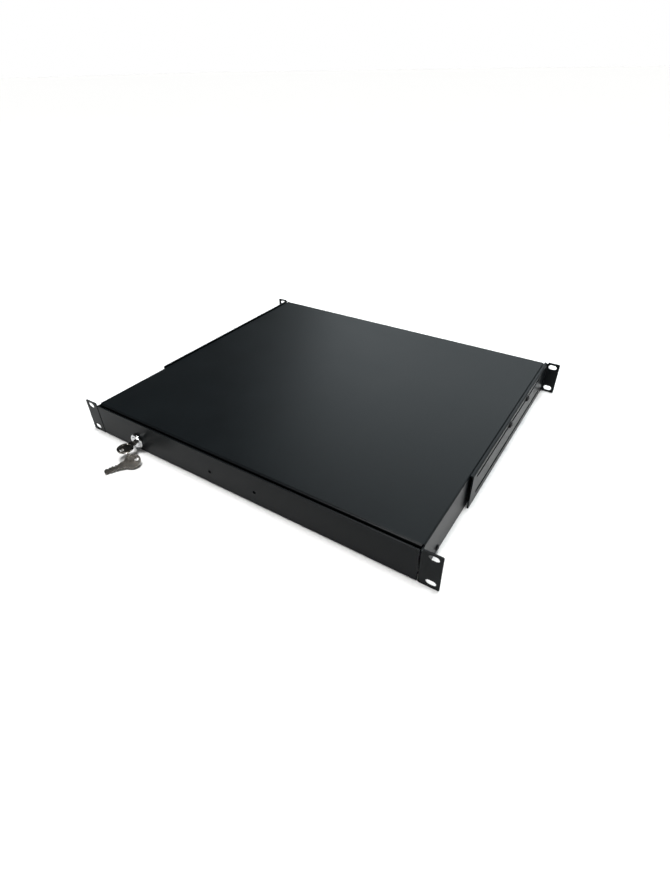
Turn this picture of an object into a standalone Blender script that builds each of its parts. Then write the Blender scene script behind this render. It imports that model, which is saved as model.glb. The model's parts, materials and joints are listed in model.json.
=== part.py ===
"""Lockable 1U rack drawer with adjustable rear brackets, as an assembly of separate pieces.

Frame: metres, +X to the right, +Y to the back, +Z up. The origin is on the underside of the
bottom pan, midway between the sides and 200 mm behind the front face of the rack ears.
Every body that moves has an empty on its joint's axis, and its pieces are parented to it.
"""
import bmesh
import bpy
from math import cos, pi, radians, sin, tau
from mathutils import Matrix, Vector

MM = 0.001

# Rack standard: one unit high, 19 inches over the ears.
RACK_HALF_WIDTH = 241.3 * MM
UNIT_HEIGHT = 43.65 * MM
HOLE_X = 232.55 * MM
HOLE_RISE = 15.875 * MM
SLOT_LENGTH = 10.6 * MM
SLOT_WIDTH = 6.8 * MM

# Case: one sheet folded over the top and both sides, with the front ears.
FRONT = -200.0 * MM
CASE_HALF_WIDTH = 220.8 * MM
CASE_TOP = 42.6 * MM
CASE_BACK = FRONT + 395.5 * MM
CASE_LIP = FRONT + 4.6 * MM
CASE_LIP_DROP = 5.1 * MM
CASE_SHEET = 1.5 * MM
EAR_FOLD = 1.0 * MM
FOLD_RADIUS = 2.2 * MM
GAP = 0.3 * MM

# Bottom pan and drawer tray.
PAN_SHEET = 1.2 * MM
PAN_HALF_WIDTH = CASE_HALF_WIDTH - CASE_SHEET - GAP
PAN_FRONT = FRONT + 8.0 * MM
PAN_BACK = FRONT + 394.6 * MM
PAN_TOP = 40.5 * MM
SLIDE_DEPTH = 12.7 * MM
TRAY_SHEET = 1.2 * MM
TRAY_HALF_WIDTH = PAN_HALF_WIDTH - PAN_SHEET - SLIDE_DEPTH - 2 * GAP
TRAY_FLOOR = 2.2 * MM
TRAY_TOP = 36.0 * MM
TRAY_FRONT = FRONT + 1.8 * MM
TRAY_BACK = FRONT + 372.0 * MM

# Drawer front.
PANEL_HALF_WIDTH = 219.2 * MM
PANEL_BOTTOM = 0.8 * MM
PANEL_TOP = 40.8 * MM
PANEL_SHEET = 1.5 * MM
HANDLE_HOLES_X = (-33.0 * MM, 31.0 * MM)
HANDLE_HOLE_Z = 17.0 * MM
HANDLE_HOLE_RADIUS = 2.1 * MM
STUD_X = (-192.0 * MM, -70.0 * MM, 70.0 * MM, 192.0 * MM)
STUD_Z = 24.0 * MM
STUD_RADIUS = 1.9 * MM

# Ball-bearing slides, seen from the front as nested channels about one mid-height.
SLIDE_MID_Z = 20.6 * MM
SLIDE_FRONT = FRONT + 8.0 * MM
SLIDE_LENGTH = 350.0 * MM
SLIDE_SHEET = 1.1 * MM
RETAINER_SHEET = 0.6 * MM
RETAINER_LENGTH = 90.0 * MM
SLIDE_FIXING_Y = (FRONT + 40.0 * MM, FRONT + 300.0 * MM)

# Rear brackets that slide along the case.
BRACKET_OUTER_X = 225.0 * MM
BRACKET_FRONT = FRONT + 113.5 * MM
REAR_EAR_FACE = FRONT + 396.75 * MM
BRACKET_INNER_X = CASE_HALF_WIDTH + 0.6 * MM
UPPER_SLOT = (FRONT + 125.0 * MM, FRONT + 360.0 * MM, 36.4 * MM)
LOWER_SLOT = (FRONT + 130.0 * MM, FRONT + 375.0 * MM, 10.8 * MM)
BRACKET_SLOT_WIDTH = 4.6 * MM
BRACKET_SCREW_Y = (FRONT + 234.0 * MM, FRONT + 302.0 * MM)
CASE_SCREW_Y = (FRONT + 41.0 * MM, FRONT + 200.0 * MM, FRONT + 370.0 * MM)
CASE_SCREW_Z = 6.7 * MM

# Cam lock and its strike.
LOCK_X = -152.5 * MM
LOCK_Z = 14.2 * MM
BEZEL_RADIUS = 9.5 * MM
BARREL_RADIUS = 8.0 * MM
PLUG_RADIUS = 6.0 * MM
LOCK_FACE = FRONT - 4.0 * MM
BARREL_END = FRONT + 15.0 * MM
CAM_FRONT = FRONT + 15.7 * MM
CAM_SHEET = 1.6 * MM
CAM_REACH = 23.6 * MM
STRIKE_BOTTOM = 31.0 * MM

# Keys on a wire ring.
KEY_SHEET = 1.8 * MM
BOW_RADIUS = 9.5 * MM
KEY_HOLE_RADIUS = 2.6 * MM
KEY_HOLE_OFFSET = 4.9 * MM
BLADE_HALF_WIDTH = 3.3 * MM
KEY_LENGTH = 33.0 * MM
KEY_BOW = Vector((LOCK_X, FRONT - 19.5 * MM, LOCK_Z))
RING_RADIUS = 9.7 * MM
RING_WIRE = 0.6 * MM
SPARE_HOLE = Vector((-133.5 * MM, FRONT - 20.7 * MM, 7.3 * MM))
SPARE_TIP = Vector((-149.5 * MM, FRONT - 50.1 * MM, 2.9 * MM))
SPARE_ROLL = radians(-22.5)
SPARE_SIDE_STEP = -0.9 * MM
RING_DEPTH_AXIS = Vector((0.713, -0.399, 0.578))


# ---------------------------------------------------------------- helpers

def clear_scene():
    """Remove every object so that the script can be run again."""
    for obj in list(bpy.data.objects):
        bpy.data.objects.remove(obj, do_unlink=True)


def finish(name, color, metallic, roughness):
    """Make a plain Principled material."""
    material = bpy.data.materials.new(name)
    material.use_nodes = True
    shader = material.node_tree.nodes["Principled BSDF"]
    shader.inputs["Base Color"].default_value = (*color, 1.0)
    shader.inputs["Metallic"].default_value = metallic
    shader.inputs["Roughness"].default_value = roughness
    return material


def body(name, origin=(0.0, 0.0, 0.0), parent=None):
    """Add an empty on the axis of a moving body's joint."""
    empty = bpy.data.objects.new(name, None)
    bpy.context.collection.objects.link(empty)
    empty.location = Vector(origin)
    if parent is not None:
        empty.parent = parent
        empty.location = Vector(origin) - world_origin(parent)
    return empty


def world_origin(empty):
    """Sum the locations up a chain of unrotated empties."""
    place = Vector(empty.location)
    while empty.parent is not None:
        empty = empty.parent
        place += empty.location
    return place


def solid(name, bm, material, owner):
    """Turn a bmesh in world coordinates into a named object that belongs to a body."""
    origin = world_origin(owner)
    bmesh.ops.translate(bm, verts=bm.verts, vec=-origin)
    mesh = bpy.data.meshes.new(name)
    bm.to_mesh(mesh)
    bm.free()
    mesh.materials.append(material)
    mesh.shade_smooth()
    mesh.set_sharp_from_angle(angle=radians(35))
    obj = bpy.data.objects.new(name, mesh)
    bpy.context.collection.objects.link(obj)
    obj.parent = owner
    return obj


def strip(bm, row, steps):
    """Carry a row of vertices through a list of steps and skin the rows with quads."""
    start = [vert.co.copy() for vert in row]
    for step in steps:
        following = [bm.verts.new(co + step) for co in start]
        for a, b, c, d in zip(row, row[1:], following[1:], following):
            bm.faces.new((a, b, c, d))
        row = following
    return row


def bend(first, second, radius, segments=4):
    """Steps of a quarter bend that starts along first and ends along second."""
    steps = []
    for i in range(1, segments + 1):
        angle = 0.5 * pi * i / segments
        steps.append(first * radius * sin(angle) + second * radius * (1 - cos(angle)))
    return steps


def folded(points, radius, segments=4):
    """Replace each inner corner of a right-angled path by a quarter arc."""
    path = [points[0]]
    for before, corner, after in zip(points, points[1:], points[2:]):
        first = (corner - before).normalized()
        second = (after - corner).normalized()
        start = corner - first * radius
        path.append(start)
        path.extend(start + step for step in bend(first, second, radius, segments))
    path.append(points[-1])
    return path


def face_towards(bm, direction):
    """Turn the whole open sheet so that its largest face looks along direction."""
    bmesh.ops.recalc_face_normals(bm, faces=bm.faces)
    bm.faces.ensure_lookup_table()
    largest = max(bm.faces, key=lambda face: face.calc_area())
    if largest.normal.dot(direction) < 0:
        bmesh.ops.reverse_faces(bm, faces=bm.faces)


def thicken(obj, thickness):
    """Give a drawn outer face its sheet thickness on the inner side."""
    modifier = obj.modifiers.new("sheet", "SOLIDIFY")
    modifier.thickness = thickness
    modifier.offset = -1.0
    modifier.use_even_offset = True


def combine(obj, other, operation):
    """Cut away or join another solid, which is then hidden as a guide."""
    other.hide_render = True
    other.display_type = "WIRE"
    modifier = obj.modifiers.new(operation.lower(), "BOOLEAN")
    modifier.operation = operation
    modifier.solver = "EXACT"
    modifier.object = other


def block(bm, low, high):
    """Add a box between two corners."""
    low = Vector(low)
    high = Vector(high)
    size = Matrix.Diagonal((*(high - low), 1.0))
    bmesh.ops.create_cube(bm, size=1.0, matrix=Matrix.Translation((low + high) / 2) @ size)


def turned(profile, segments, axis="Y", place=(0, 0, 0), bm=None):
    """Spin a (radius, distance) profile about an axis; it closes on itself or on the axis."""
    target = bm or bmesh.new()
    part = bmesh.new()
    verts = [part.verts.new((radius, 0.0, along)) for radius, along in profile]
    edges = [part.edges.new(pair) for pair in zip(verts, verts[1:])]
    if profile[0][0] > 0 or profile[-1][0] > 0:
        edges.append(part.edges.new((verts[-1], verts[0])))
    bmesh.ops.spin(part, geom=verts + edges, cent=(0, 0, 0), axis=(0, 0, 1),
                   angle=tau, steps=segments, use_merge=True)
    bmesh.ops.remove_doubles(part, verts=part.verts, dist=0.0005 * MM)
    turn = {"X": Matrix.Rotation(pi / 2, 4, "Y"), "Y": Matrix.Rotation(-pi / 2, 4, "X"),
            "Z": Matrix.Identity(4)}[axis]
    part.transform(Matrix.Translation(Vector(place)) @ turn)
    bmesh.ops.recalc_face_normals(part, faces=part.faces)
    append(target, part)
    return target


def append(target, part):
    """Copy one bmesh into another."""
    mesh = bpy.data.meshes.new("part")
    part.to_mesh(mesh)
    part.free()
    target.from_mesh(mesh)
    bpy.data.meshes.remove(mesh)


def rod(radius, start, length, axis, place, segments=16, bm=None):
    """A plain cylinder from start along an axis."""
    profile = [(0, start), (radius, start), (radius, start + length), (0, start + length)]
    return turned(profile, segments, axis, place, bm)


def plate(outline, thickness, bm=None):
    """Extrude a flat outline in XY to a plate centred on Z = 0."""
    target = bm or bmesh.new()
    part = bmesh.new()
    base = part.faces.new([part.verts.new((x, y, -thickness / 2)) for x, y in outline])
    raised = bmesh.ops.extrude_face_region(part, geom=[base])["geom"]
    moved = [item for item in raised if isinstance(item, bmesh.types.BMVert)]
    bmesh.ops.translate(part, verts=moved, vec=(0, 0, thickness))
    bmesh.ops.recalc_face_normals(part, faces=part.faces)
    append(target, part)
    return target


def obround(length, width, segments=6):
    """Outline of a slot along X with round ends."""
    radius = width / 2
    reach = length / 2 - radius
    points = []
    for side in (1, -1):
        for i in range(segments + 1):
            angle = side * pi / 2 - pi * i / segments
            points.append((side * reach + radius * cos(angle), radius * sin(angle)))
    return points


def slot(bm, length, width, depth, long_axis, through, place):
    """Add a slot-shaped cutter with its long axis and its through axis along world axes."""
    part = plate(obround(length, width), depth)
    along = Vector(long_axis)
    out = Vector(through)
    turn = Matrix((along, out.cross(along), out)).transposed().to_4x4()
    part.transform(Matrix.Translation(Vector(place)) @ turn)
    append(bm, part)


def cutter(name, bm, target, owner):
    """Cut a bmesh of closed solids out of a piece."""
    combine(target, solid(name, bm, STEEL, owner), "DIFFERENCE")


def mirrored(side, x, y, z):
    """A point on the right side, or its mirror image on the left."""
    return Vector((side * x, y, z))


def side_name(side):
    return "right" if side > 0 else "left"


# ---------------------------------------------------------------- case and pan

def add_ear(bm, row, side, turn_from, root_x, low, high):
    """Bend a rack ear outwards from the upright edge of a wall, over the full unit height."""
    outward = Vector((side, 0, 0))
    row = strip(bm, row, bend(turn_from, outward, EAR_FOLD))
    width = RACK_HALF_WIDTH - root_x - EAR_FOLD
    tip = strip(bm, row, [outward * width])
    inner_low, inner_high = sorted((row[0], row[-1]), key=lambda vert: vert.co.z)
    outer_low, outer_high = sorted((tip[0], tip[-1]), key=lambda vert: vert.co.z)
    if inner_high.co.z < high:
        rise = Vector((0, 0, high - inner_high.co.z))
        strip(bm, [inner_high, outer_high], [rise])
    if inner_low.co.z > low:
        strip(bm, [inner_low, outer_low], [Vector((0, 0, low - inner_low.co.z))])


def ear_slots(bm, side, y):
    """The two rack slots of one ear."""
    for level in (-1, 1):
        centre = mirrored(side, HOLE_X, y, UNIT_HEIGHT / 2 + level * HOLE_RISE)
        slot(bm, SLOT_LENGTH, SLOT_WIDTH, 8 * MM, (1, 0, 0), (0, 1, 0), centre)


def make_case(owner):
    """Top, side walls, front lip and front ears, folded from one sheet."""
    bm = bmesh.new()
    start = CASE_LIP + FOLD_RADIUS
    corners = [Vector((-CASE_HALF_WIDTH, start, 0)), Vector((-CASE_HALF_WIDTH, start, CASE_TOP)),
               Vector((CASE_HALF_WIDTH, start, CASE_TOP)), Vector((CASE_HALF_WIDTH, start, 0))]
    row = [bm.verts.new(point) for point in folded(corners, FOLD_RADIUS)]
    strip(bm, row, [Vector((0, CASE_BACK - start, 0))])
    forward = Vector((0, -1, 0))
    down = Vector((0, 0, -1))
    crown = [vert for vert in row if abs(vert.co.z - CASE_TOP) < 0.001 * MM]
    edge = strip(bm, crown, bend(forward, down, FOLD_RADIUS))
    strip(bm, edge, [down * (CASE_LIP_DROP - FOLD_RADIUS)])
    for side in (-1, 1):
        wall = [v for v in row if v.co.x * side > CASE_HALF_WIDTH - 0.001 * MM]
        root = strip(bm, wall, [forward * (start - FRONT - CASE_SHEET - EAR_FOLD)])
        add_ear(bm, root, side, forward, CASE_HALF_WIDTH, 0.0, UNIT_HEIGHT)
    face_towards(bm, Vector((0, 0, 1)))
    case = solid("case_cover", bm, POWDER_COAT, owner)
    thicken(case, CASE_SHEET)
    holes = bmesh.new()
    for side in (-1, 1):
        ear_slots(holes, side, FRONT)
        wall_holes(holes, side, CASE_HALF_WIDTH)
    cutter("case_holes", holes, case, owner)


def wall_holes(bm, side, x):
    """Holes through a side wall for the case screws and the bracket screws."""
    place = mirrored(side, x, 0, 0)
    for y in CASE_SCREW_Y:
        rod(1.9 * MM, -4 * MM, 8 * MM, "X", place + Vector((0, y, CASE_SCREW_Z)), 12, bm)
    for y in BRACKET_SCREW_Y:
        rod(2.3 * MM, -4 * MM, 8 * MM, "X", place + Vector((0, y, UPPER_SLOT[2])), 12, bm)


def open_box(half_width, front, back, low, high, fold, walls):
    """Folded tray: a floor, two sides and the end walls asked for."""
    bm = bmesh.new()
    y_start = front + (fold if "front" in walls else 0)
    y_end = back - fold
    corners = [Vector((-half_width, y_start, high)), Vector((-half_width, y_start, low)),
               Vector((half_width, y_start, low)), Vector((half_width, y_start, high))]
    near = [bm.verts.new(point) for point in folded(corners, fold)]
    far = strip(bm, near, [Vector((0, y_end - y_start, 0))])
    up = Vector((0, 0, 1))
    ends = {"front": (near, Vector((0, -1, 0))), "back": (far, Vector((0, 1, 0)))}
    for wall in walls:
        row, out = ends[wall]
        floor_edge = [vert for vert in row if abs(vert.co.z - low) < 0.001 * MM]
        root = strip(bm, floor_edge, bend(out, up, fold))
        strip(bm, root, [up * (high - low - fold)])
    face_towards(bm, -up)
    return bm


def make_pan(owner):
    """Bottom pan with side walls and a back wall, which carries the slides."""
    pan = solid("bottom_pan", open_box(PAN_HALF_WIDTH, PAN_FRONT, PAN_BACK, 0.0, PAN_TOP,
                                       2.0 * MM, ["back"]), POWDER_COAT, owner)
    thicken(pan, PAN_SHEET)
    holes = bmesh.new()
    for side in (-1, 1):
        wall_holes(holes, side, PAN_HALF_WIDTH)
        for y in SLIDE_FIXING_Y:
            place = mirrored(side, PAN_HALF_WIDTH, y, SLIDE_MID_Z)
            rod(2.0 * MM, -4 * MM, 8 * MM, "X", place, 12, holes)
    cutter("pan_holes", holes, pan, owner)


def pan_head(shank_radius, shank_length, head_radius, head_height):
    """Profile of a domed screw, from the tip of the shank to the top of the head."""
    chamfer = 0.4 * MM
    profile = [(0, -shank_length), (shank_radius - chamfer, -shank_length),
               (shank_radius, -shank_length + chamfer), (shank_radius, 0), (head_radius, 0),
               (head_radius, 0.45 * head_height), (0.82 * head_radius, 0.82 * head_height),
               (0.45 * head_radius, head_height), (0, head_height)]
    return profile


def make_case_screws(owner):
    """Three low screws on each side hold the cover to the pan."""
    profile = pan_head(1.6 * MM, 3.0 * MM, 3.3 * MM, 1.5 * MM)
    for side in (-1, 1):
        for number, y in enumerate(CASE_SCREW_Y, 1):
            place = mirrored(side, CASE_HALF_WIDTH + GAP, y, CASE_SCREW_Z)
            facing = [(radius, side * along) for radius, along in profile]
            bm = turned(facing, 12, "X", place)
            solid(f"case_screw_{side_name(side)}_{number}", bm, BLACK_STEEL, owner)


def make_strike(owner):
    """Angle welded under the cover; the raised cam stands behind its upright leg."""
    bm = bmesh.new()
    rear = FRONT + 14.5 * MM
    top = CASE_TOP - CASE_SHEET - GAP
    left = LOCK_X - 9 * MM
    corners = [Vector((left, FRONT + 7.5 * MM, top)), Vector((left, rear, top)),
               Vector((left, rear, STRIKE_BOTTOM))]
    row = [bm.verts.new(point) for point in folded(corners, FOLD_RADIUS)]
    strip(bm, row, [Vector((18 * MM, 0, 0))])
    face_towards(bm, Vector((0, 1, 0)))
    strike = solid("lock_strike", bm, ZINC, owner)
    thicken(strike, CASE_SHEET)


# ---------------------------------------------------------------- slides

def channel(side, web_x, edge_x, half_height, lip, front, length):
    """Outer face of a rolled channel: a web, two flanges and an optional turned lip."""
    bm = bmesh.new()
    points = [mirrored(side, edge_x, front, SLIDE_MID_Z - half_height),
              mirrored(side, web_x, front, SLIDE_MID_Z - half_height),
              mirrored(side, web_x, front, SLIDE_MID_Z + half_height),
              mirrored(side, edge_x, front, SLIDE_MID_Z + half_height)]
    if lip:
        turn = Vector((0, 0, lip))
        points = [points[0] + turn, *points, points[-1] - turn]
    row = [bm.verts.new(point) for point in folded(points, 1.4 * MM, 3)]
    strip(bm, row, [Vector((0, length, 0))])
    face_towards(bm, Vector((side if web_x > edge_x else -side, 0, 0)))
    return bm


def slide_x(depth):
    """Distance from the mid-plane to a depth inside the slide, from its case side."""
    return PAN_HALF_WIDTH - PAN_SHEET - GAP - depth


def make_slide(side, owners):
    """Case member, middle member, drawer member and two ball retainers of one slide."""
    name = side_name(side)
    outer = solid(f"slide_outer_{name}",
                  channel(side, slide_x(0), slide_x(10 * MM), 17.5 * MM, 2.2 * MM,
                          SLIDE_FRONT, SLIDE_LENGTH), ZINC, owners["root"])
    thicken(outer, SLIDE_SHEET)
    holes = bmesh.new()
    for y in SLIDE_FIXING_Y:
        rod(2.0 * MM, -3 * MM, 6 * MM, "X", mirrored(side, slide_x(0), y, SLIDE_MID_Z), 12, holes)
    cutter(f"slide_outer_{name}_holes", holes, outer, owners["root"])
    middle = solid(f"slide_middle_{name}",
                   channel(side, slide_x(2.6 * MM), slide_x(11 * MM), 13.7 * MM, 0,
                           SLIDE_FRONT, SLIDE_LENGTH), ZINC, owners[f"middle_{name}"])
    thicken(middle, SLIDE_SHEET)
    inner = solid(f"slide_inner_{name}",
                  channel(side, slide_x(SLIDE_DEPTH), slide_x(6 * MM), 10 * MM, 0,
                          SLIDE_FRONT, SLIDE_LENGTH), ZINC, owners["drawer"])
    thicken(inner, SLIDE_SHEET)
    holes = bmesh.new()
    for y in SLIDE_FIXING_Y:
        place = mirrored(side, slide_x(SLIDE_DEPTH), y, SLIDE_MID_Z)
        rod(2.0 * MM, -3 * MM, 6 * MM, "X", place, 12, holes)
    cutter(f"slide_inner_{name}_holes", holes, inner, owners["drawer"])
    retainers = (("outer", 1.7 * MM, 8 * MM, 15.6 * MM, 102 * MM),
                 ("inner", 4.6 * MM, 10.5 * MM, 11.9 * MM, 140 * MM))
    for level, web, edge, half_height, start in retainers:
        bm = channel(side, slide_x(web), slide_x(edge), half_height, 0,
                     FRONT + start, RETAINER_LENGTH)
        obj = solid(f"ball_retainer_{level}_{name}", bm, RETAINER, owners[f"retainer_{level}_{name}"])
        thicken(obj, RETAINER_SHEET)


def make_slide_fixings(side, owners):
    """Flush rivets into the pan and low screws into the tray."""
    name = side_name(side)
    for number, y in enumerate(SLIDE_FIXING_Y, 1):
        place = mirrored(side, slide_x(SLIDE_SHEET - 0.1 * MM), y, SLIDE_MID_Z)
        length = SLIDE_SHEET + GAP + PAN_SHEET - 0.2 * MM
        bm = turned([(0, 0), (1.7 * MM, 0), (1.7 * MM, side * length), (0, side * length)],
                    12, "X", place)
        solid(f"slide_rivet_{name}_{number}", bm, ZINC, owners["root"])
        profile = pan_head(1.7 * MM, SLIDE_SHEET + TRAY_SHEET + 0.3 * MM, 3.4 * MM, 1.5 * MM)
        facing = [(radius, side * along) for radius, along in profile]
        place = mirrored(side, slide_x(SLIDE_DEPTH - SLIDE_SHEET - GAP), y, SLIDE_MID_Z)
        solid(f"slide_screw_{name}_{number}", turned(facing, 12, "X", place), ZINC, owners["drawer"])


# ---------------------------------------------------------------- rear brackets

def make_bracket(side, owners):
    """Slotted web with a folded top edge and a rear rack ear."""
    name = side_name(side)
    bm = bmesh.new()
    backward = Vector((0, 1, 0))
    end = REAR_EAR_FACE - EAR_FOLD
    corners = [mirrored(side, BRACKET_OUTER_X, BRACKET_FRONT, 0),
               mirrored(side, BRACKET_OUTER_X, BRACKET_FRONT, UNIT_HEIGHT),
               mirrored(side, BRACKET_INNER_X, BRACKET_FRONT, UNIT_HEIGHT)]
    row = [bm.verts.new(point) for point in folded(corners, 2.0 * MM)]
    row = strip(bm, row, [backward * (end - BRACKET_FRONT)])
    web = [v for v in row if v.co.x * side > BRACKET_OUTER_X - 0.001 * MM]
    add_ear(bm, web, side, backward, BRACKET_OUTER_X, 0.0, UNIT_HEIGHT)
    face_towards(bm, Vector((side, 0, 0)))
    bracket = solid(f"rear_bracket_{name}", bm, POWDER_COAT, owners[f"bracket_{name}"])
    thicken(bracket, CASE_SHEET)
    holes = bmesh.new()
    ear_slots(holes, side, REAR_EAR_FACE)
    for start, stop, z in (UPPER_SLOT, LOWER_SLOT):
        centre = mirrored(side, BRACKET_OUTER_X, (start + stop) / 2, z)
        slot(holes, stop - start, BRACKET_SLOT_WIDTH, 8 * MM, (0, 1, 0), (1, 0, 0), centre)
    cutter(f"rear_bracket_{name}_holes", holes, bracket, owners[f"bracket_{name}"])


def make_bracket_fixings(side, owner):
    """Clamp screws through the upper slot and the spacers that they pull against."""
    name = side_name(side)
    web_inner = BRACKET_OUTER_X - CASE_SHEET
    reach = BRACKET_OUTER_X + GAP - (PAN_HALF_WIDTH - PAN_SHEET) - 0.1 * MM
    profile = pan_head(1.95 * MM, reach, 4.3 * MM, 2.6 * MM)
    facing = [(radius, side * along) for radius, along in profile]
    for number, y in enumerate(BRACKET_SCREW_Y, 1):
        place = mirrored(side, BRACKET_OUTER_X + GAP, y, UPPER_SLOT[2])
        solid(f"bracket_screw_{name}_{number}", turned(facing, 16, "X", place), BLACK_STEEL, owner)
        near = CASE_HALF_WIDTH + GAP
        thickness = web_inner - GAP - near
        ring = [(2.3 * MM, 0), (4.2 * MM, 0), (4.2 * MM, thickness), (2.3 * MM, thickness)]
        ring = [(radius, side * along) for radius, along in ring]
        place = mirrored(side, near, y, UPPER_SLOT[2])
        solid(f"bracket_spacer_{name}_{number}", turned(ring, 16, "X", place), ZINC, owner)


# ---------------------------------------------------------------- drawer

def make_tray(owner):
    """Drawer tray folded from one sheet, open at the top."""
    bm = open_box(TRAY_HALF_WIDTH, TRAY_FRONT, TRAY_BACK, TRAY_FLOOR, TRAY_TOP, 2.0 * MM,
                  ["front", "back"])
    tray = solid("drawer_tray", bm, POWDER_COAT, owner)
    thicken(tray, TRAY_SHEET)
    holes = bmesh.new()
    rod(BARREL_RADIUS + GAP, -2 * MM, 6 * MM, "Y", (LOCK_X, TRAY_FRONT, LOCK_Z), 24, holes)
    for x in STUD_X:
        rod(STUD_RADIUS + GAP, -2 * MM, 6 * MM, "Y", (x, TRAY_FRONT, STUD_Z), 12, holes)
    for x in HANDLE_HOLES_X:
        place = (x, TRAY_FRONT, HANDLE_HOLE_Z)
        rod(HANDLE_HOLE_RADIUS, -2 * MM, 6 * MM, "Y", place, 12, holes)
    for side in (-1, 1):
        for y in SLIDE_FIXING_Y:
            place = mirrored(side, TRAY_HALF_WIDTH, y, SLIDE_MID_Z)
            rod(2.0 * MM, -3 * MM, 6 * MM, "X", place, 12, holes)
    cutter("drawer_tray_holes", holes, tray, owner)


def make_panel(owner):
    """Flat drawer front with a lock hole, two handle holes and four welded studs."""
    bm = bmesh.new()
    block(bm, (-PANEL_HALF_WIDTH, FRONT, PANEL_BOTTOM),
          (PANEL_HALF_WIDTH, FRONT + PANEL_SHEET, PANEL_TOP))
    panel = solid("drawer_front", bm, POWDER_COAT, owner)
    edge = panel.modifiers.new("edge", "BEVEL")
    edge.width = 0.4 * MM
    edge.segments = 2
    studs = bmesh.new()
    for x in STUD_X:
        rod(STUD_RADIUS, -0.5 * MM, 7.0 * MM, "Y", (x, FRONT + PANEL_SHEET, STUD_Z), 12, studs)
    combine(panel, solid("panel_studs", studs, STEEL, owner), "UNION")
    holes = bmesh.new()
    rod(BARREL_RADIUS + GAP, -3 * MM, 6 * MM, "Y", (LOCK_X, FRONT, LOCK_Z), 24, holes)
    for x in HANDLE_HOLES_X:
        rod(HANDLE_HOLE_RADIUS, -3 * MM, 6 * MM, "Y", (x, FRONT, HANDLE_HOLE_Z), 16, holes)
    cutter("drawer_front_holes", holes, panel, owner)


def hex_nut(half_flats, hole_radius, start, thickness, place):
    """Hexagon nut about a Y axis with a flat side down and a round hole."""
    bm = bmesh.new()
    inner = []
    outer = []
    hole_points = 24
    for i in range(hole_points):
        angle = tau * i / hole_points
        step = angle % (pi / 3) - pi / 6
        corner = half_flats / cos(step)
        inner.append((hole_radius * cos(angle), hole_radius * sin(angle)))
        outer.append((corner * cos(angle), corner * sin(angle)))
    levels = []
    for outline in (outer, inner):
        for y in (start, start + thickness):
            levels.append([bm.verts.new((x, y, z)) for x, z in outline])
    outer_near, outer_far, inner_near, inner_far = levels
    rings = ((outer_near, outer_far), (outer_far, inner_far), (inner_far, inner_near),
             (inner_near, outer_near))
    for first, second in rings:
        for i in range(hole_points):
            j = (i + 1) % hole_points
            bm.faces.new((first[i], first[j], second[j], second[i]))
    bmesh.ops.translate(bm, verts=bm.verts, vec=Vector(place))
    bmesh.ops.recalc_face_normals(bm, faces=bm.faces)
    return bm


def make_panel_nuts(owner):
    """Nuts on the studs, inside the tray."""
    start = TRAY_FRONT + TRAY_SHEET + GAP
    for number, x in enumerate(STUD_X, 1):
        bm = hex_nut(3.5 * MM, STUD_RADIUS + 0.15 * MM, start, 3.0 * MM, (x, 0, STUD_Z))
        solid(f"panel_nut_{number}", bm, ZINC, owner)


# ---------------------------------------------------------------- lock

def make_lock_body(owner):
    """Bevelled bezel and threaded barrel, with its washer and nut behind the tray wall."""
    bore = PLUG_RADIUS + GAP
    crown = 7.9 * MM
    profile = [(bore, LOCK_FACE), (crown, LOCK_FACE), (BEZEL_RADIUS, FRONT - 1.8 * MM),
               (BEZEL_RADIUS, FRONT - GAP), (BARREL_RADIUS, FRONT - GAP),
               (BARREL_RADIUS, BARREL_END), (bore, BARREL_END)]
    solid("lock_body", turned(profile, 36, "Y", (LOCK_X, 0, LOCK_Z)), CHROME, owner)
    washer = TRAY_FRONT + TRAY_SHEET + GAP
    ring = [(8.2 * MM, washer), (10.2 * MM, washer), (10.2 * MM, washer + 0.8 * MM),
            (8.2 * MM, washer + 0.8 * MM)]
    solid("lock_washer", turned(ring, 24, "Y", (LOCK_X, 0, LOCK_Z)), ZINC, owner)
    bm = hex_nut(9.5 * MM, 8.2 * MM, washer + 1.1 * MM, 4.0 * MM, (LOCK_X, 0, LOCK_Z))
    solid("lock_nut", bm, ZINC, owner)


def make_lock_plug(owner):
    """Turning plug with a keyway at the front and a square tail for the cam."""
    axis = (LOCK_X, 0, LOCK_Z)
    face = LOCK_FACE - 0.2 * MM
    shoulder = CAM_FRONT - GAP
    bm = turned([(0, face), (PLUG_RADIUS - 0.3 * MM, face), (PLUG_RADIUS, face + 0.3 * MM),
                 (PLUG_RADIUS, shoulder), (0, shoulder)], 32, "Y", axis)
    plug = solid("lock_plug", bm, CHROME, owner)
    half_tail = 3.0 * MM
    tail = bmesh.new()
    block(tail, (LOCK_X - half_tail, shoulder - 1 * MM, LOCK_Z - half_tail),
          (LOCK_X + half_tail, CAM_FRONT + CAM_SHEET + 0.2 * MM, LOCK_Z + half_tail))
    combine(plug, solid("plug_tail", tail, STEEL, owner), "UNION")
    keyway = bmesh.new()
    half_width = BLADE_HALF_WIDTH + 0.4 * MM
    half_gap = KEY_SHEET / 2 + GAP
    block(keyway, (LOCK_X - half_width, face - 1 * MM, LOCK_Z - half_gap),
          (LOCK_X + half_width, KEY_BOW.y + KEY_LENGTH + 0.6 * MM, LOCK_Z + half_gap))
    rod(1.7 * MM, CAM_FRONT - 1.3 * MM, 5 * MM, "Y", axis, 12, keyway)
    cutter("plug_keyway", keyway, plug, owner)
    make_cam(owner)
    shank = 1.4 * MM
    length = 2.8 * MM
    head = 4.2 * MM
    height = 2.0 * MM
    profile = [(0, -length), (shank, -length), (shank, 0), (head, 0),
               (head, 0.6 * height), (0.8 * head, height), (0, height)]
    place = (LOCK_X, CAM_FRONT + CAM_SHEET + 0.5 * MM, LOCK_Z)
    solid("cam_screw", turned(profile, 16, "Y", place), ZINC, owner)


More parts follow.
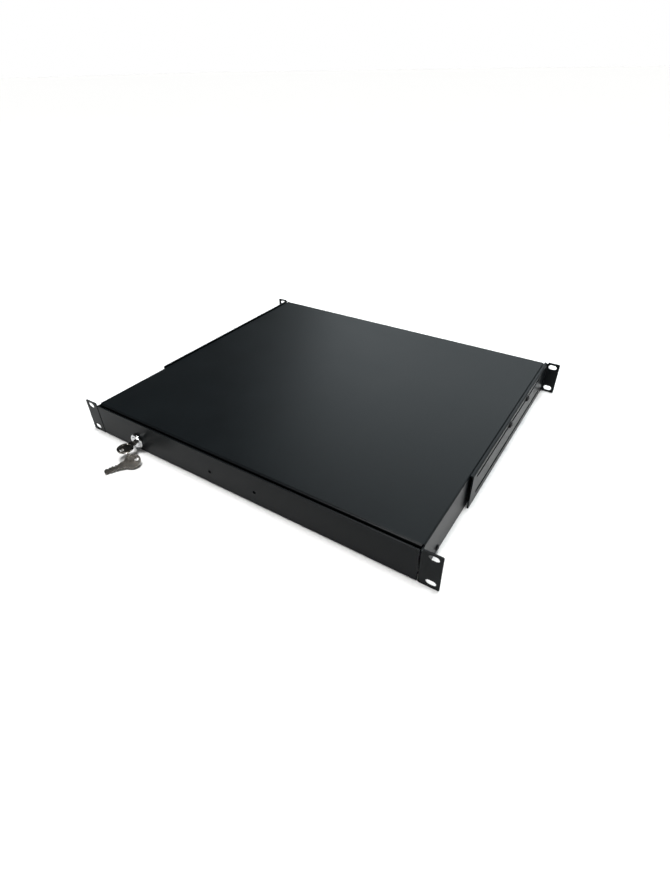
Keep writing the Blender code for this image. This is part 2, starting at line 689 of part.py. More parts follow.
def make_cam(owner):
    """Flat cam with a square hole; it points sideways when the drawer is unlocked."""
    hub = 8.0 * MM
    tip_half = 5.5 * MM
    steps = 12
    outline = [(hub * cos(turn), hub * sin(turn))
               for turn in (pi / 4 + 1.5 * pi * i / steps for i in range(steps + 1))]
    outline += [(CAM_REACH - 1.5 * MM, -tip_half), (CAM_REACH, -tip_half + 1.5 * MM),
                (CAM_REACH, tip_half - 1.5 * MM), (CAM_REACH - 1.5 * MM, tip_half)]
    bm = plate(outline, CAM_SHEET)
    stand_up = Matrix.Rotation(pi / 2, 4, "X")
    middle = CAM_FRONT + CAM_SHEET / 2
    bm.transform(Matrix.Translation((LOCK_X, middle, LOCK_Z)) @ stand_up)
    cam = solid("lock_cam", bm, ZINC, owner)
    hole = bmesh.new()
    half_hole = 3.3 * MM
    block(hole, (LOCK_X - half_hole, middle - 3 * MM, LOCK_Z - half_hole),
          (LOCK_X + half_hole, middle + 3 * MM, LOCK_Z + half_hole))
    cutter("cam_hole", hole, cam, owner)


# ---------------------------------------------------------------- keys

def key_outline():
    """Round bow, short neck and a double-edged blade along +Y, about the bow's centre."""
    neck = 4.2 * MM
    neck_angle = radians(64)
    around = pi + 2 * neck_angle
    steps = 28
    outline = [(BOW_RADIUS * cos(turn), BOW_RADIUS * sin(turn))
               for turn in (neck_angle - around * i / steps for i in range(steps + 1))]
    shoulder = 13.6 * MM
    left = [(-neck, shoulder), (-BLADE_HALF_WIDTH, shoulder + 0.8 * MM)]
    pitch = 3.6 * MM
    first = shoulder + 3.4 * MM
    half_mouth = 1.3 * MM
    half_root = 0.4 * MM
    depths = (0.7 * MM, 1.2 * MM, 0.5 * MM, 1.0 * MM)
    for number, depth in enumerate(depths):
        y = first + pitch * number
        root = depth - BLADE_HALF_WIDTH
        left += [(-BLADE_HALF_WIDTH, y - half_mouth), (root, y - half_root),
                 (root, y + half_root), (-BLADE_HALF_WIDTH, y + half_mouth)]
    left += [(-BLADE_HALF_WIDTH, KEY_LENGTH - 2.2 * MM), (-1.0 * MM, KEY_LENGTH)]
    right = [(-x, y) for x, y in reversed(left)]
    return outline + left + right


def make_key(name, place, owner):
    """One flat key; place maps its own frame to the world."""
    bm = plate(key_outline(), KEY_SHEET)
    bm.transform(place)
    key = solid(name, bm, NICKEL, owner)
    hole = rod(KEY_HOLE_RADIUS, -3 * MM, 6 * MM, "Z", (0, -KEY_HOLE_OFFSET, 0), 20)
    hole.transform(place)
    cutter(f"{name}_hole", hole, key, owner)


def spare_place():
    """Frame of the spare key, which leans on its ring with its tip down."""
    along = (SPARE_TIP - SPARE_HOLE).normalized()
    across = along.cross(Vector((0, 0, 1))).normalized()
    normal = across.cross(along)
    turn = Matrix((across, along, normal)).transposed()
    turn = turn @ Matrix.Rotation(SPARE_ROLL, 3, "Y")
    bow = SPARE_HOLE + along * KEY_HOLE_OFFSET + turn.col[0] * SPARE_SIDE_STEP
    return Matrix.Translation(bow) @ turn.to_4x4()


def ring_frame():
    """Centre and two in-plane axes of the ring, which passes through both key holes."""
    main_hole = KEY_BOW - Vector((0, KEY_HOLE_OFFSET, 0))
    across = SPARE_HOLE - main_hole
    centre = main_hole + across / 2
    across.normalize()
    depth = (RING_DEPTH_AXIS - across * RING_DEPTH_AXIS.dot(across)).normalized()
    return centre, across, depth


def make_ring(owner):
    """Wire ring through the two key holes."""
    centre, across, depth = ring_frame()
    normal = across.cross(depth)
    bm = bmesh.new()
    around = 36
    facets = 8
    rows = []
    for i in range(around):
        angle = tau * i / around
        out = across * cos(angle) + depth * sin(angle)
        spine = centre + out * RING_RADIUS
        rows.append([bm.verts.new(spine + (out * cos(turn) + normal * sin(turn)) * RING_WIRE)
                     for turn in (tau * k / facets for k in range(facets))])
    for i in range(around):
        here, there = rows[i], rows[(i + 1) % around]
        for k in range(facets):
            nxt = (k + 1) % facets
            bm.faces.new((here[k], here[nxt], there[nxt], there[k]))
    bmesh.ops.recalc_face_normals(bm, faces=bm.faces)
    solid("key_ring", bm, NICKEL, owner)


# ---------------------------------------------------------------- assembly

clear_scene()
POWDER_COAT = finish("black powder coat", (0.012, 0.013, 0.014), 0.0, 0.42)
BLACK_STEEL = finish("black oxide steel", (0.015, 0.015, 0.016), 0.8, 0.45)
ZINC = finish("zinc plated steel", (0.55, 0.56, 0.58), 1.0, 0.35)
CHROME = finish("chrome plated zinc", (0.75, 0.75, 0.76), 1.0, 0.12)
NICKEL = finish("nickel plated brass", (0.48, 0.44, 0.38), 1.0, 0.28)
RETAINER = finish("retainer steel", (0.4, 0.41, 0.43), 1.0, 0.4)
STEEL = finish("guide", (0.5, 0.5, 0.5), 1.0, 0.5)

root = body("chassis_body")
drawer = body("drawer_body", (0, FRONT, SLIDE_MID_Z), root)
lock = body("lock_plug_body", (LOCK_X, FRONT, LOCK_Z), drawer)
key_body = body("key_body", (LOCK_X, FRONT, LOCK_Z), lock)
ring_body = body("key_ring_body", KEY_BOW - Vector((0, KEY_HOLE_OFFSET, 0)), key_body)
spare_body = body("spare_key_body", SPARE_HOLE, ring_body)
bodies = {"root": root, "drawer": drawer}
for side in (-1, 1):
    name = side_name(side)
    seat = mirrored(side, slide_x(0), SLIDE_FRONT, SLIDE_MID_Z)
    for part_name in (f"middle_{name}", f"retainer_outer_{name}", f"retainer_inner_{name}"):
        bodies[part_name] = body(f"{part_name}_body", seat, root)
    seat = mirrored(side, BRACKET_OUTER_X, REAR_EAR_FACE, UPPER_SLOT[2])
    bodies[f"bracket_{name}"] = body(f"bracket_{name}_body", seat, root)

make_case(root)
make_pan(root)
make_case_screws(root)
make_strike(root)
for side in (-1, 1):
    make_slide(side, bodies)
    make_slide_fixings(side, bodies)
    make_bracket(side, bodies)
    make_bracket_fixings(side, root)
make_tray(drawer)
make_panel(drawer)
make_panel_nuts(drawer)
make_lock_body(drawer)
make_lock_plug(lock)
make_key("lock_key", Matrix.Translation(KEY_BOW), key_body)
make_ring(ring_body)
make_key("spare_key", spare_place(), spare_body)
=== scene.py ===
# %% [markdown]
# # A lockable rack drawer in folded steel
# The object is a one-unit drawer for a 19-inch rack: a powder-coated case folded from sheet
# steel, a drawer on ball-bearing slides, a cam lock with two keys, and two slotted brackets
# that reach back to the rear rails. An engineering model of it, the frame, already gives every
# piece its size and place. This lesson gives the pieces their real surfaces.

import json
from math import atan2, cos, pi, radians, sin, sqrt, tau

import bmesh
import bpy
import numpy as np
from mathutils import Matrix, Vector


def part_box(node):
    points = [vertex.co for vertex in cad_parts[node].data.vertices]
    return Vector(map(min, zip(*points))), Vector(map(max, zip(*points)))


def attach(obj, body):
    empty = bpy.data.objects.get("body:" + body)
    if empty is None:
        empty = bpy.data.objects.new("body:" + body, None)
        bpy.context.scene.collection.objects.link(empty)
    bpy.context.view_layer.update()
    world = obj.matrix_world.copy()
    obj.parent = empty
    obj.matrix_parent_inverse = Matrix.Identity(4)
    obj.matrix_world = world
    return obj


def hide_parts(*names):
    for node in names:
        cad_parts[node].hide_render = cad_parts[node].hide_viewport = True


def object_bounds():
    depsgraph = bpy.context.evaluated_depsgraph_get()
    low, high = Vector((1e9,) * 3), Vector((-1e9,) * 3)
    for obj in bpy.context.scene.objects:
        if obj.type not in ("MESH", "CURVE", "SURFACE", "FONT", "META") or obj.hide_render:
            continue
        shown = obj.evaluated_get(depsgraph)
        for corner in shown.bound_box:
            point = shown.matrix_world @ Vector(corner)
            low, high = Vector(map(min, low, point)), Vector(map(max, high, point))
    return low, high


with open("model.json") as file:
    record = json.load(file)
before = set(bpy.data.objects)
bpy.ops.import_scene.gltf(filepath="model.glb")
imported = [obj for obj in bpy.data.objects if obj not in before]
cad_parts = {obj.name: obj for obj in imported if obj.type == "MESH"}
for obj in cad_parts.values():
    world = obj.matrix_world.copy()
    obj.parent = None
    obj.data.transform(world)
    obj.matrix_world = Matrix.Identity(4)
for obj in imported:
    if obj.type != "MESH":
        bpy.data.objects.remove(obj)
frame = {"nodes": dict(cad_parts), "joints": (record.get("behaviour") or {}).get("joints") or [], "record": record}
CAD_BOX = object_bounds()
MM = 0.001
print("nodes:", len(frame["nodes"]), "size in mm:",
      [round(edge / MM, 1) for edge in CAD_BOX[1] - CAD_BOX[0]])

# %% [markdown]
# ## Camera
# A product shot of a wide, flat object is taken from above one front corner, so that the top,
# the drawer front and one side all show. A short lens close to the object makes the near
# corner large. The camera is described as a photographer would: where it stands, where it
# turns, and how far it leans. Its three axes then follow from cross products.

# %% Camera
CAMERA_PLACE = Vector((0.32154, -0.48592, 0.37877))
CAMERA_TURN = radians(-33.68)
CAMERA_TILT = radians(36.27)
CAMERA_ROLL = radians(-1.174)
LENS_MM = 21.05
LENS_SHIFT = (0.0032, 0.0030)


def camera_axes(turn, tilt, roll):
    """Right, up and forward of a camera turned from +Y, tilted down and rolled."""
    forward = Vector((sin(turn) * cos(tilt), cos(turn) * cos(tilt), -sin(tilt)))
    level = forward.cross(Vector((0, 0, 1))).normalized()
    upright = level.cross(forward)
    right = level * cos(roll) + upright * sin(roll)
    return right, right.cross(forward), forward


right, up, forward = camera_axes(CAMERA_TURN, CAMERA_TILT, CAMERA_ROLL)
camera = bpy.data.objects.new("camera", bpy.data.cameras.new("camera"))
bpy.context.scene.collection.objects.link(camera)
turned = Matrix((right, up, -forward)).transposed().to_4x4()
camera.matrix_world = Matrix.Translation(CAMERA_PLACE) @ turned
camera.data.lens = LENS_MM
camera.data.shift_x, camera.data.shift_y = LENS_SHIFT
camera.data.clip_start = 0.01
bpy.context.scene.camera = camera
print("camera stands", round(CAMERA_PLACE.length, 2), "m from the middle of the drawer")

# %% [markdown]
# ## Helpers for colour and nodes
# Colours are written as the hex values that a paint chart gives, and the renderer needs them
# as linear light, so one function converts them. One more function adds any shader node with
# its settings and links, which keeps each material short enough to read from top to bottom.

# %% Colour and node helpers


def linear(hex_colour):
    """Turn an sRGB hex value such as 1A1C1E into linear RGBA."""
    parts = [int(hex_colour[i:i + 2], 16) / 255 for i in (0, 2, 4)]
    light = [v / 12.92 if v <= 0.04045 else ((v + 0.055) / 1.055) ** 2.4 for v in parts]
    return (*light, 1.0)


def add(tree, kind, links=None, **settings):
    """Add a node. links maps its inputs to sockets or values; settings are its properties."""
    node = tree.nodes.new(kind)
    for name, value in settings.items():
        setattr(node, name, value)
    for key, value in (links or {}).items():
        if isinstance(value, bpy.types.NodeSocket):
            tree.links.new(value, node.inputs[key])
        else:
            node.inputs[key].default_value = value
    return node


def new_material(name, **values):
    """Start a material and set the constants of its Principled shader."""
    material = bpy.data.materials.new(name)
    material.use_nodes = True
    shader = material.node_tree.nodes["Principled BSDF"]
    for key, value in values.items():
        shader.inputs[key.replace("_", " ")].default_value = value
    return material, material.node_tree, shader


def ramp(tree, factor, *stops):
    """Map a 0 to 1 factor to colours at given positions."""
    node = add(tree, "ShaderNodeValToRGB", {"Fac": factor})
    points = node.color_ramp.elements
    while len(points) < len(stops):
        points.new(1.0)
    for point, (position, colour) in zip(points, stops):
        point.position = position
        point.color = colour
    return node.outputs["Color"]


def spread(tree, factor, low, high):
    """Map a pattern that hovers about one half to a range of values."""
    node = add(tree, "ShaderNodeMapRange", {"Value": factor, "From Min": 0.3, "From Max": 0.7,
                                            "To Min": low, "To Max": high})
    return node.outputs["Result"]


def grain(tree, size, detail=2.0, stretch=(1, 1, 1)):
    """Noise whose spots are about size metres across, drawn out along the stretched axes."""
    place = add(tree, "ShaderNodeTexCoord").outputs["Object"]
    scale = tuple(1 / s for s in stretch)
    spot = add(tree, "ShaderNodeMapping", {"Vector": place, "Scale": scale}).outputs["Vector"]
    noise = add(tree, "ShaderNodeTexNoise", {"Vector": spot, "Scale": 1 / size, "Detail": detail})
    return noise.outputs["Fac"]


print("mid grey 808080 in linear light:", round(linear("808080")[0], 3))

# %% [markdown]
# ## Black powder coat on steel
# The sheets are sprayed with dry polyester powder and baked. The film flows into a dull satin
# skin with faint orange peel: bumps about half a millimetre across and a few micrometres high.
# At the distance of this shot they would melt together, so they are drawn at 0.9 mm. Real
# polyester has an index of refraction near 1.5. The value here, below 1.2, is not a measured
# one: it was lowered until the front panel, which mirrors the pale floor, came out dark enough.
# The pigment is a cool black. The gloss changes a little over tens of millimetres.

# %% Powder coat
PEEL_SIZE = 0.9 * MM
PEEL_HEIGHT = 0.006 * MM
FILM_PATCH = 45 * MM
COAT_INDEX = 1.175


def satin_black_powder_coat():
    """Baked black polyester film with orange peel and slow changes of gloss."""
    material, tree, shader = new_material("satin black powder coat", IOR=COAT_INDEX)
    patch = grain(tree, FILM_PATCH, 3.0)
    speck = grain(tree, 2.4 * MM, 4.0)
    tone = add(tree, "ShaderNodeMix", {"Factor": 0.35, "A": patch, "B": speck})
    colour = ramp(tree, tone.outputs["Result"], (0.3, linear("0B0E10")), (0.7, linear("0F1315")))
    peel = grain(tree, PEEL_SIZE, 1.5)
    bump = add(tree, "ShaderNodeBump", {"Height": peel, "Distance": PEEL_HEIGHT, "Strength": 0.8})
    tree.links.new(colour, shader.inputs["Base Color"])
    tree.links.new(spread(tree, tone.outputs["Result"], 0.33, 0.37), shader.inputs["Roughness"])
    tree.links.new(bump.outputs["Normal"], shader.inputs["Normal"])
    return material


POWDER_COAT = satin_black_powder_coat()
print("orange peel:", PEEL_SIZE / MM, "mm across,", PEEL_HEIGHT / MM * 1000, "micrometres high")

# %% [markdown]
# ## Zinc plate
# Slides, nuts and washers are plated with bright zinc and passivated. Zinc crystals scatter a
# little more light than chrome, so the roughness is near one third. The passivation film
# gives patches that lean to blue or straw yellow. Rolled slides also keep fine drawing lines
# along their length, which a noise stretched thirty times along Y makes.

# %% Zinc plate
ZINC_CRYSTAL = 0.8 * MM
DRAWING_LINE = 0.5 * MM


def bright_zinc_plate(name, lined):
    """Passivated zinc; lined adds the drawing lines of rolled strip."""
    material, tree, shader = new_material(name, Metallic=1.0)
    patch = grain(tree, 9 * MM, 3.0)
    crystal = grain(tree, ZINC_CRYSTAL, 3.0)
    colour = ramp(tree, patch, (0.3, linear("B9C0C8")), (0.5, linear("C8CBCC")),
                  (0.7, linear("CFCBBF")))
    lines = grain(tree, DRAWING_LINE, 2.0, (1, 30, 1)) if lined else crystal
    height = add(tree, "ShaderNodeMix", {"Factor": 0.6, "A": crystal, "B": lines})
    bump = add(tree, "ShaderNodeBump", {"Height": height.outputs["Result"],
                                        "Distance": 0.01 * MM, "Strength": 0.6})
    tree.links.new(colour, shader.inputs["Base Color"])
    tree.links.new(spread(tree, height.outputs["Result"], 0.26, 0.4), shader.inputs["Roughness"])
    tree.links.new(bump.outputs["Normal"], shader.inputs["Normal"])
    return material


ROLLED_ZINC = bright_zinc_plate("bright zinc on rolled strip", True)
PLAIN_ZINC = bright_zinc_plate("bright zinc on small steel parts", False)
print("zinc crystal size:", ZINC_CRYSTAL / MM, "mm")

# %% [markdown]
# ## Black zinc screws
# The screws are plated and then blackened in a bath. The black layer is a thin oxide over
# metal: dark, slightly metallic, glossier than the paint, and rubbed lighter where the
# driver has touched it.

# %% Black zinc


def black_zinc_plate():
    """Blackened plating with rubbed, lighter spots."""
    material, tree, shader = new_material("blackened zinc on screws", Metallic=0.75)
    rub = grain(tree, 1.2 * MM, 4.0)
    colour = ramp(tree, rub, (0.35, linear("1A1A1B")), (0.6, linear("232324")),
                  (0.78, linear("4A4A4A")))
    bump = add(tree, "ShaderNodeBump", {"Height": grain(tree, 0.4 * MM, 2.0),
                                        "Distance": 0.008 * MM, "Strength": 0.6})
    tree.links.new(colour, shader.inputs["Base Color"])
    tree.links.new(spread(tree, rub, 0.42, 0.3), shader.inputs["Roughness"])
    tree.links.new(bump.outputs["Normal"], shader.inputs["Normal"])
    return material


BLACK_ZINC = black_zinc_plate()
print("screw finish ready:", BLACK_ZINC.name)

# %% [markdown]
# ## Chrome and nickel
# The lock is zinc die-casting, polished and chromed: a nearly perfect mirror with a thin haze
# where fingers touch it. The keys are stamped brass with a nickel skin. Nickel is warmer and
# darker than chrome, it is scratched along the blade by use, and where it has worn through,
# the brass shows. The key colours here were chosen darker than clean nickel.

# %% Chrome and nickel


def polished_chrome():
    """Mirror plate on die-cast zinc with a light haze from handling."""
    material, tree, shader = new_material("polished chrome on zinc die-casting", Metallic=1.0)
    haze = grain(tree, 3.5 * MM, 4.0)
    colour = ramp(tree, haze, (0.3, linear("C4C6C9")), (0.7, linear("D0D1D1")))
    tree.links.new(colour, shader.inputs["Base Color"])
    tree.links.new(spread(tree, haze, 0.06, 0.16), shader.inputs["Roughness"])
    return material


def worn_nickel_plate():
    """Nickel on brass, scratched by pockets and locks, with brass in the worn spots."""
    material, tree, shader = new_material("worn nickel plate on brass", Metallic=1.0)
    wear = grain(tree, 2.6 * MM, 5.0)
    scratch = grain(tree, 0.35 * MM, 2.0, (9, 1.5, 1))
    colour = ramp(tree, wear, (0.35, linear("908E8A")), (0.6, linear("837F78")),
                  (0.8, linear("796B54")))
    mix = add(tree, "ShaderNodeMix", {"Factor": 0.5, "A": wear, "B": scratch})
    bump = add(tree, "ShaderNodeBump", {"Height": scratch, "Distance": 0.006 * MM,
                                        "Strength": 0.5})
    tree.links.new(colour, shader.inputs["Base Color"])
    tree.links.new(spread(tree, mix.outputs["Result"], 0.16, 0.28), shader.inputs["Roughness"])
    tree.links.new(bump.outputs["Normal"], shader.inputs["Normal"])
    return material


CHROME = polished_chrome()
NICKEL = worn_nickel_plate()
print("lock and key finishes ready:", CHROME.name, "and", NICKEL.name)

# %% [markdown]
# ## Ground bearing steel
# Bearing balls are hardened chromium steel, ground and lapped. They come with a film of
# grease, so they are a little darker and softer than the chrome of the lock.

# %% Bearing steel


def lapped_bearing_steel():
    """Hardened steel balls under a thin film of grease."""
    material, tree, shader = new_material("lapped bearing steel", Metallic=1.0)
    grease = grain(tree, 1.5 * MM, 3.0)
    colour = ramp(tree, grease, (0.3, linear("A9ABAE")), (0.7, linear("C3C4C5")))
    tree.links.new(colour, shader.inputs["Base Color"])
    tree.links.new(spread(tree, grease, 0.12, 0.28), shader.inputs["Roughness"])
    return material


BEARING_STEEL = lapped_bearing_steel()
print("bearing finish ready:", BEARING_STEEL.name)

# %% [markdown]
# ## Helpers for pieces
# A piece is built as a bmesh in the frame's own coordinates. Booleans are done on a throwaway
# object and applied at once, so that no cutter stays behind.

# %% Helpers for shapes


def plain_object(name, bm):
    """Put a bmesh into the scene as an object of its own."""
    mesh = bpy.data.meshes.new(name)
    bm.to_mesh(mesh)
    bm.free()
    obj = bpy.data.objects.new(name, mesh)
    bpy.context.scene.collection.objects.link(obj)
    return obj


def settled(obj):
    """Take an object's final mesh as a bmesh and remove the object."""
    graph = bpy.context.evaluated_depsgraph_get()
    bm = bmesh.new()
    bm.from_object(obj, graph)
    mesh = obj.data
    bpy.data.objects.remove(obj)
    bpy.data.meshes.remove(mesh)
    return bm


def carve(bm, tool, operation="DIFFERENCE"):
    """Cut, join or intersect two closed bmeshes and return the result."""
    obj = plain_object("work", bm)
    other = plain_object("tool", tool)
    change = obj.modifiers.new("carve", "BOOLEAN")
    change.solver = "EXACT"
    change.operation = operation
    change.object = other
    result = settled(obj)
    bpy.data.objects.remove(other)
    return result


def join(bm, part):
    """Copy one bmesh into another and free the first."""
    mesh = bpy.data.meshes.new("part")
    part.to_mesh(mesh)
    part.free()
    bm.from_mesh(mesh)
    bpy.data.meshes.remove(mesh)


# %% [markdown]
# The next helper turns a bmesh into a named piece. It sets smooth shading with sharp corners,
# the material and the body that the piece moves with, and hides the engineering nodes that it
# stands for. One short one looks up a node's body in the frame.

# %% Helpers to finish a piece
SHARP = radians(35)
BEVEL_STEPS = 2


def finish_piece(name, bm, material, body, nodes, edge=0.0):
    """Make a piece with rounded edges that rides on a body and stands for its nodes."""
    obj = plain_object(name, bm)
    obj.data.shade_smooth()
    obj.data.set_sharp_from_angle(angle=SHARP)
    obj.data.materials.append(material)
    if edge:
        bevel = obj.modifiers.new("broken edge", "BEVEL")
        bevel.width = edge
        bevel.segments = BEVEL_STEPS
        bevel.limit_method = "ANGLE"
        bevel.angle_limit = SHARP
        bevel.miter_outer = "MITER_ARC"
    weights = obj.modifiers.new("flat faces stay flat", "WEIGHTED_NORMAL")
    weights.keep_sharp = True
    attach(obj, body)
    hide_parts(*nodes)
    return obj


def body_of(node):
    """Name of the body that a node belongs to."""
    return next(name for name, nodes in frame["record"]["behaviour"]["bodies"].items()
                if node in nodes)


print("edges sharper than", round(SHARP / radians(1)), "degrees are kept sharp or broken")

# %% [markdown]
# ## Folded sheets and rolled slides
# The engineering model's sheets already have the right bends, holes and slots. What they lack
# is what a punch and a tumbler leave: slightly broken edges that catch a line of light. Each
# sheet's triangles are welded, flat neighbours are merged, and a Bevel modifier rounds the
# edges by a fifth of a millimetre. Weighted normals keep the large faces perfectly flat while
# the bends shade as one curve. The rack ears also get the rounded corners of a punched blank.

# %% Sheets and slides
BROKEN_EDGE = 0.2 * MM
FINE_EDGE = 0.12 * MM
EAR_CORNER = 1.6 * MM
NEARLY = 0.01 * MM


def welded(node):
    """A node's mesh with shared corners and merged flat faces."""
    bm = bmesh.new()
    bm.from_mesh(frame["nodes"][node].data)
    bmesh.ops.remove_doubles(bm, verts=bm.verts, dist=0.002 * MM)
    bmesh.ops.dissolve_limit(bm, angle_limit=radians(0.5), verts=bm.verts, edges=bm.edges)
    return bm


def round_ears(bm):
    """Round the outer corners of the rack ears, whose ends are the widest points of all."""
    widest = CAD_BOX[1].x - NEARLY
    corners = [edge for edge in bm.edges
               if all(abs(vert.co.x) > widest for vert in edge.verts)
               and abs(edge.verts[0].co.z - edge.verts[1].co.z) < NEARLY]
    bmesh.ops.bevel(bm, geom=corners, offset=EAR_CORNER, segments=6, affect="EDGES",
                    profile=0.5)
    return len(corners)


def dress_sheet(node, name, material, edge=BROKEN_EDGE):
    """Replace a sheet node by its finished self."""
    bm = welded(node)
    rounded = round_ears(bm)
    if rounded:
        print(node, "has", rounded, "rounded ear corners")
    finish_piece(name, bm, material, body_of(node), [node], edge)


SIDES = ("left", "right")
SHEETS = ["case_cover", "bottom_pan", "drawer_tray"]
SHEETS += [f"rear_bracket_{side}" for side in SIDES]
for node in SHEETS:
    dress_sheet(node, f"{node}_sheet", POWDER_COAT)
dress_sheet("drawer_front", "drawer_front_panel", POWDER_COAT, FINE_EDGE)
for side in SIDES:
    for member in ("outer", "middle", "inner"):
        node = f"slide_{member}_{side}"
        dress_sheet(node, f"{node}_channel", ROLLED_ZINC, FINE_EDGE)
    for number in (1, 2):
        node = f"bracket_spacer_{side}_{number}"
        dress_sheet(node, f"{node}_collar", PLAIN_ZINC, 0.1 * MM)
        node = f"slide_rivet_{side}_{number}"
        dress_sheet(node, f"{node}_head", PLAIN_ZINC, 0.15 * MM)
dress_sheet("lock_strike", "lock_strike_angle", PLAIN_ZINC)
dress_sheet("lock_cam", "lock_cam_plate", PLAIN_ZINC)

# %% [markdown]
# ## Turned pieces
# Screws, washers, the bezel and the plug are all made on a lathe or by cold heading, so their
# shape is one outline turned about an axis. The outline lists radius and height pairs. A ring
# such as a washer has an outline that never meets the axis and closes on itself.

# %% Lathe helper


def lathe(outline, around=64):
    """Turn (radius, height) pairs about Z into one closed skin."""
    bm = bmesh.new()
    turns = [tau * i / around for i in range(around)]
    rings = []
    for radius, height in outline:
        points = [(radius * cos(t), radius * sin(t), height) for t in turns]
        rings.append([bm.verts.new(p) for p in (points if radius > 0 else [(0, 0, height)])])
    for near, far in zip(rings, rings[1:] + rings[:1]):
        if len(near) == 1 and len(far) == 1:
            continue
        for i in range(around):
            j = (i + 1) % around
            corners = [near[i % len(near)], near[j % len(near)], far[j % len(far)],
                       far[i % len(far)]]
            bm.faces.new(list(dict.fromkeys(corners)))
    bmesh.ops.recalc_face_normals(bm, faces=bm.faces)
    return bm


def stand(bm, place, axis):
    """Turn a bmesh built along +Z to point along axis, and put it in place."""
    turn = Vector((0, 0, 1)).rotation_difference(Vector(axis)).to_matrix().to_4x4()
    bm.transform(Matrix.Translation(Vector(place)) @ turn)
    return bm


print("a lathe ring of 64 steps on a 5 mm radius has edges of",
      round(tau * 5 / 64, 2), "mm")

# %% [markdown]
# ## Pan head screws
# The head of a pan head screw is a low dome pressed cold, with a cross recess for the driver.
# The dome is a quarter ellipse that ends in a short upright rim. The recess is a plus sign
# that narrows as it goes down, cut out with a Boolean. The engineering screws give the length
# and the head's width. A standard screw's thread is a spiral groove, and here it is drawn as
# close rings, because only their edge could ever be seen.

# %% Pan head screws
THREAD_PITCH = 0.7 * MM
THREAD_DEPTH = 0.3 * MM


def cross_tool(width, slot, depth):
    """A tapering plus sign that cuts the recess, with its wide end at Z = 0."""
    bm = bmesh.new()
    levels = []
    for scale, height in ((1.1, 0.1 * depth), (0.45, -depth)):
        arm = width / 2 * scale
        half = slot / 2 * (0.5 + 0.5 * scale)
        ring = []
        for k in range(4):
            turn = Matrix.Rotation(k * pi / 2, 2)
            ring += [turn @ Vector(p) for p in ((arm, -half), (arm, half), (half, half))]
        levels.append([bm.verts.new((x, y, height)) for x, y in ring])
    top, bottom = levels
    count = len(top)
    for i in range(count):
        j = (i + 1) % count
        bm.faces.new((top[i], top[j], bottom[j], bottom[i]))
    bm.faces.new(top)
    bm.faces.new(bottom)
    bmesh.ops.recalc_face_normals(bm, faces=bm.faces)
    return bm


def pan_head_screw(head, height, shank, length):
    """A cross-recessed screw along +Z, with the underside of its head at Z = 0."""
    rim = 0.35 * height
    dome_steps = 8
    outline = [(0, -length), (shank - THREAD_DEPTH, -length)]
    turns = int((length - shank) / THREAD_PITCH)
    for i in range(turns):
        low = -length + THREAD_DEPTH + i * THREAD_PITCH
        outline += [(shank - THREAD_DEPTH, low), (shank, low + 0.5 * THREAD_PITCH)]
    outline += [(shank - THREAD_DEPTH, -length + THREAD_DEPTH + turns * THREAD_PITCH)]
    outline += [(shank - THREAD_DEPTH, 0), (head - 0.1 * MM, 0), (head, 0.1 * MM), (head, rim)]
    for i in range(1, dome_steps + 1):
        turn = 0.5 * pi * i / dome_steps
        outline.append((head * cos(turn) ** 0.8 if i < dome_steps else 0,
                        rim + (height - rim) * sin(turn)))
    tool = cross_tool(1.05 * head, 0.26 * head, 0.6 * height)
    bmesh.ops.translate(tool, verts=tool.verts, vec=(0, 0, height))
    return carve(lathe(outline, 40), tool)


def side_screw(node, name, material, height, shank):
    """Replace an engineering screw on a side wall by a finished one."""
    low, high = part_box(node)
    side = 1 if low.x > 0 else -1
    outward = side if "slide" not in node else -side
    head = (high.y - low.y) / 2
    length = (high.x - low.x) - height
    tip = low.x if outward > 0 else high.x
    seat = Vector((tip + outward * length, (low.y + high.y) / 2, (low.z + high.z) / 2))
    bm = stand(pan_head_screw(head, height, shank, length), seat, (outward, 0, 0))
    finish_piece(name, bm, material, body_of(node), [node], 0.05 * MM)


for side in SIDES:
    for number in (1, 2, 3):
        side_screw(f"case_screw_{side}_{number}", f"case_pan_head_{side}_{number}",
                   BLACK_ZINC, 1.5 * MM, 1.6 * MM)
    for number in (1, 2):
        side_screw(f"bracket_screw_{side}_{number}", f"bracket_pan_head_{side}_{number}",
                   BLACK_ZINC, 2.6 * MM, 1.95 * MM)
        side_screw(f"slide_screw_{side}_{number}", f"slide_pan_head_{side}_{number}",
                   PLAIN_ZINC, 1.5 * MM, 1.7 * MM)

# %% [markdown]
# ## Hexagon nuts and washers
# A hexagon nut is a prism whose corners a lathe has cut back at a slant, which leaves the
# curved chamfer lines that make a nut look right. Intersecting the prism with a turned disc
# that has slanted rims gives exactly those curves.

# %% Nuts and washers
LOCK_HOLE = 8.2 * MM


def hex_nut(flats, hole, thickness):
    """A chamfered nut along +Z from Z = 0, flats metres across and with a flat side down."""
    corner = flats / sqrt(3)
    chamfer = 0.22 * thickness
    bm = bmesh.new()
    ring = [bm.verts.new((corner * cos(tau * i / 6), corner * sin(tau * i / 6), 0))
            for i in range(6)]
    base = bm.faces.new(ring)
    raised = bmesh.ops.extrude_face_region(bm, geom=[base])["geom"]
    tops = [part for part in raised if isinstance(part, bmesh.types.BMVert)]
    bmesh.ops.translate(bm, verts=tops, vec=(0, 0, thickness))
    bmesh.ops.recalc_face_normals(bm, faces=bm.faces)
    crown = 0.94 * flats / 2
    disc = [(hole, 0), (crown, 0), (corner * 1.02, chamfer), (corner * 1.02, thickness - chamfer),
            (crown, thickness), (hole, thickness)]
    return carve(bm, lathe(disc, 96), "INTERSECT")


